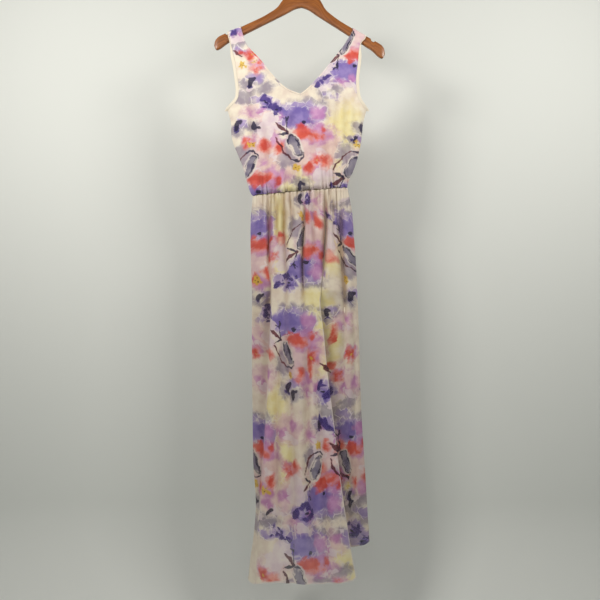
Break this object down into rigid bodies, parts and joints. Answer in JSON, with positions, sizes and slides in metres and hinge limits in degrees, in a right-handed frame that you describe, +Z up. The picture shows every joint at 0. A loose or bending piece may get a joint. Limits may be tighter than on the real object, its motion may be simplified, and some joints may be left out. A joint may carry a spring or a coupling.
{
  "type": "maxi dress on a hanger",
  "caption": "Sleeveless V-neck maxi dress in sheer floral chiffon with a bloused bodice, elastic waist and slit gathered skirt, hung on a flat wooden hanger.",
  "frame": {"origin": "inside of the hanger hook's top, where the rail or hand holds it", "axes": "+Z up, +X to the viewer's right of the dress's front, +Y to its back, so the front faces -Y"},
  "size_m": [0.4334, 0.1536, 1.5356],
  "materials": {
    "printed_chiffon": "sheer chiffon with a loose watercolour floral print on cream",
    "cream_lining": "plain cream lining, soft dull sheen",
    "elastic": "woven elastic, matte",
    "varnished_wood": "stained and varnished, satin",
    "plated_steel": "bright plated wire"
  },
  "bodies": {
    "root": {"bodice_front": "printed_chiffon", "bodice_back": "printed_chiffon", "neck_binding": "printed_chiffon", "armhole_facing_left": "cream_lining", "armhole_facing_right": "cream_lining", "waist_elastic": "elastic", "skirt_front_left": "printed_chiffon", "skirt_front_right": "printed_chiffon", "skirt_back": "printed_chiffon", "skirt_lining_front": "cream_lining", "skirt_lining_back": "cream_lining", "hanger_body": "varnished_wood", "hanger_hook": "plated_steel"}
  },
  "joints": []
}
